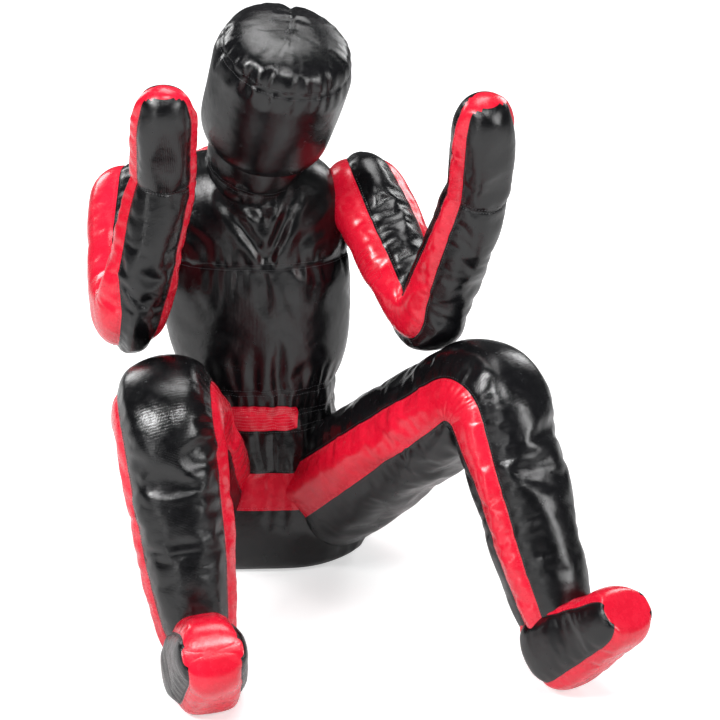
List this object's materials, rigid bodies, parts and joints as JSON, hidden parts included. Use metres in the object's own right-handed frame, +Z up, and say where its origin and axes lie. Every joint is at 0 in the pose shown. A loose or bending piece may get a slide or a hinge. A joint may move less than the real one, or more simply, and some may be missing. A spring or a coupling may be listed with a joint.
{
  "type": "grappling dummy",
  "caption": "Seated stuffed vinyl grappling dummy with drawn-up knees, raised forearms and jointed limbs, for throwing and ground-fighting practice.",
  "frame": {"origin": "on the floor under the middle of the seat, in the flat face of the seat panel", "axes": "+Z up, -Y the way the dummy faces, +X towards its left side"},
  "size_m": [0.8072, 0.7471, 0.8899],
  "materials": {
    "black_vinyl": "gloss",
    "red_vinyl": "gloss",
    "stuffing": "matte",
    "zip_tape": "matte",
    "zip_metal": "satin"
  },
  "bodies": {
    "pelvis": {"pelvis_stuffing": "stuffing", "crotch_panel": "black_vinyl", "crotch_band": "red_vinyl", "seat_panel": "black_vinyl"},
    "abdomen": {"abdomen_stuffing": "stuffing", "waist_band": "black_vinyl", "belly_patch": "red_vinyl"},
    "chest": {"chest_stuffing": "stuffing", "chest_yoke_panel": "black_vinyl", "chest_front_panel": "black_vinyl", "back_panels": "red_vinyl", "zip_tape": "zip_tape", "zip_teeth": "zip_metal"},
    "neck": {"neck_stuffing": "stuffing", "neck_band": "black_vinyl"},
    "head": {"head_stuffing": "stuffing", "head_side_panel": "black_vinyl", "head_cap": "black_vinyl"},
    "zip_slider": {"zip_slider": "zip_metal"},
    "zip_pull": {"zip_pull": "zip_metal"},
    "left_shoulder": {"left_shoulder_stuffing": "stuffing"},
    "left_hip": {"left_hip_stuffing": "stuffing"},
    "left_upper_arm": {"left_upper_arm_stuffing": "stuffing", "left_upper_arm_black_panels": "black_vinyl", "left_upper_arm_red_panels": "red_vinyl"},
    "left_forearm": {"left_forearm_stuffing": "stuffing", "left_forearm_black_panels": "black_vinyl", "left_forearm_red_panels": "red_vinyl"},
    "left_thigh": {"left_thigh_stuffing": "stuffing", "left_thigh_black_panels": "black_vinyl", "left_thigh_red_panels": "red_vinyl"},
    "left_shin": {"left_shin_stuffing": "stuffing", "left_shin_black_panels": "black_vinyl", "left_shin_red_panels": "red_vinyl"},
    "left_hand": {"left_hand_stuffing": "stuffing", "left_hand_black_panels": "black_vinyl", "left_hand_red_band": "red_vinyl"},
    "left_foot": {"left_foot_stuffing": "stuffing", "left_foot_side_panels": "black_vinyl", "left_foot_red_band": "red_vinyl"},
    "right_shoulder": {"right_shoulder_stuffing": "stuffing"},
    "right_hip": {"right_hip_stuffing": "stuffing"},
    "right_upper_arm": {"right_upper_arm_stuffing": "stuffing", "right_upper_arm_black_panels": "black_vinyl", "right_upper_arm_red_panels": "red_vinyl"},
    "right_forearm": {"right_forearm_stuffing": "stuffing", "right_forearm_black_panels": "black_vinyl", "right_forearm_red_panels": "red_vinyl"},
    "right_thigh": {"right_thigh_stuffing": "stuffing", "right_thigh_black_panels": "black_vinyl", "right_thigh_red_panels": "red_vinyl"},
    "right_shin": {"right_shin_stuffing": "stuffing", "right_shin_black_panels": "black_vinyl", "right_shin_red_panels": "red_vinyl"},
    "right_hand": {"right_hand_stuffing": "stuffing", "right_hand_black_panels": "black_vinyl", "right_hand_red_band": "red_vinyl"},
    "right_foot": {"right_foot_stuffing": "stuffing", "right_foot_side_panels": "black_vinyl", "right_foot_red_band": "red_vinyl"}
  },
  "joints": [
    {"name": "waist_bend", "type": "hinge", "parent": "pelvis", "child": "abdomen", "pos_m": [0, 0.006, 0.222], "axis": [1, 0, 0], "range_deg": [-22, 0]},
    {"name": "chest_twist", "type": "hinge", "parent": "abdomen", "child": "chest", "pos_m": [0, 0.006, 0.3], "axis": [-0.0405, 0.0116, 0.9991], "range_deg": [-0.5, 7]},
    {"name": "neck_nod", "type": "hinge", "parent": "chest", "child": "neck", "pos_m": [-0.00445, -0.02387, 0.6442], "axis": [0.9673, 0.11, -0.2285], "range_deg": [-15, 12]},
    {"name": "head_turn", "type": "hinge", "parent": "neck", "child": "head", "pos_m": [-0.008, -0.018, 0.632], "axis": [0.2536, -0.4194, 0.8717], "range_deg": [-25, 25]},
    {"name": "left_shoulder_raise", "type": "hinge", "parent": "chest", "child": "left_shoulder", "pos_m": [0.16, 0.02, 0.582], "axis": [-0.9016, -0.4268, -0.0711], "range_deg": [0, 35]},
    {"name": "left_shoulder_spread", "type": "hinge", "parent": "left_shoulder", "child": "left_upper_arm", "pos_m": [0.16, 0.02, 0.582], "axis": [0.2082, -0.5719, 0.7935], "range_deg": [0, 12]},
    {"name": "left_elbow", "type": "hinge", "parent": "left_upper_arm", "child": "left_forearm", "pos_m": [0.25293, -0.15163, 0.43391], "axis": [-0.8475, -0.5253, 0.077], "range_deg": [-5, 14]},
    {"name": "left_wrist", "type": "hinge", "parent": "left_forearm", "child": "left_hand", "pos_m": [0.31609, -0.22084, 0.65703], "axis": [-0.8475, -0.5253, 0.077], "range_deg": [-18, 28]},
    {"name": "right_shoulder_raise", "type": "hinge", "parent": "chest", "child": "right_shoulder", "pos_m": [-0.19, 0.012, 0.57], "axis": [-0.9813, 0.0692, -0.1799], "range_deg": [0, 35]},
    {"name": "right_shoulder_spread", "type": "hinge", "parent": "right_shoulder", "child": "right_upper_arm", "pos_m": [-0.19, 0.012, 0.57], "axis": [0.1893, 0.5202, -0.8328], "range_deg": [0, 25]},
    {"name": "right_elbow", "type": "hinge", "parent": "right_upper_arm", "child": "right_forearm", "pos_m": [-0.18119, -0.19656, 0.44173], "axis": [-0.9534, -0.1862, 0.2373], "range_deg": [-38, 14]},
    {"name": "right_wrist", "type": "hinge", "parent": "right_forearm", "child": "right_hand", "pos_m": [-0.11969, -0.21399, 0.67514], "axis": [-0.9534, -0.1862, 0.2373], "range_deg": [-28, 28]},
    {"name": "left_hip_spread", "type": "hinge", "parent": "pelvis", "child": "left_hip", "pos_m": [0.108, -0.03, 0.118], "axis": [0, 0, 1], "range_deg": [-6, 0]},
    {"name": "left_hip_raise", "type": "hinge", "parent": "left_hip", "child": "left_thigh", "pos_m": [0.108, -0.03, 0.118], "axis": [-0.7117, -0.7025, 0], "range_deg": [-40, 0]},
    {"name": "left_knee", "type": "hinge", "parent": "left_thigh", "child": "left_shin", "pos_m": [0.33983, -0.26484, 0.3937], "axis": [0.7656, 0.635, -0.1029], "range_deg": [-58, 11]},
    {"name": "left_ankle", "type": "hinge", "parent": "left_shin", "child": "left_foot", "pos_m": [0.42703, -0.41894, 0.09179], "axis": [-0.7538, -0.6474, 0.1127], "range_deg": [-20, 18]},
    {"name": "right_hip_spread", "type": "hinge", "parent": "pelvis", "child": "right_hip", "pos_m": [-0.108, -0.03, 0.118], "axis": [0, 0, -1], "range_deg": [-6, 10]},
    {"name": "right_hip_raise", "type": "hinge", "parent": "right_hip", "child": "right_thigh", "pos_m": [-0.108, -0.03, 0.118], "axis": [-0.9996, 0.0283, 0], "range_deg": [-40, 0]},
    {"name": "right_knee", "type": "hinge", "parent": "right_thigh", "child": "right_shin", "pos_m": [-0.11703, -0.34845, 0.4068], "axis": [0.9903, 0.0767, 0.1156], "range_deg": [-58, 11]},
    {"name": "right_ankle", "type": "hinge", "parent": "right_shin", "child": "right_foot", "pos_m": [-0.07047, -0.44961, 0.07499], "axis": [-0.9877, -0.1182, -0.1025], "range_deg": [-20, 18]},
    {"name": "zip_slide", "type": "slide", "parent": "chest", "child": "zip_slider", "axis": [0.0405, -0.0116, -0.9991], "range_m": [0, 0.26]},
    {"name": "zip_pull_swing", "type": "hinge", "parent": "zip_slider", "child": "zip_pull", "pos_m": [-0.01186, 0.09788, 0.59121], "axis": [0.9992, 0.0005, 0.0405], "range_deg": [0, 100]}
  ]
}
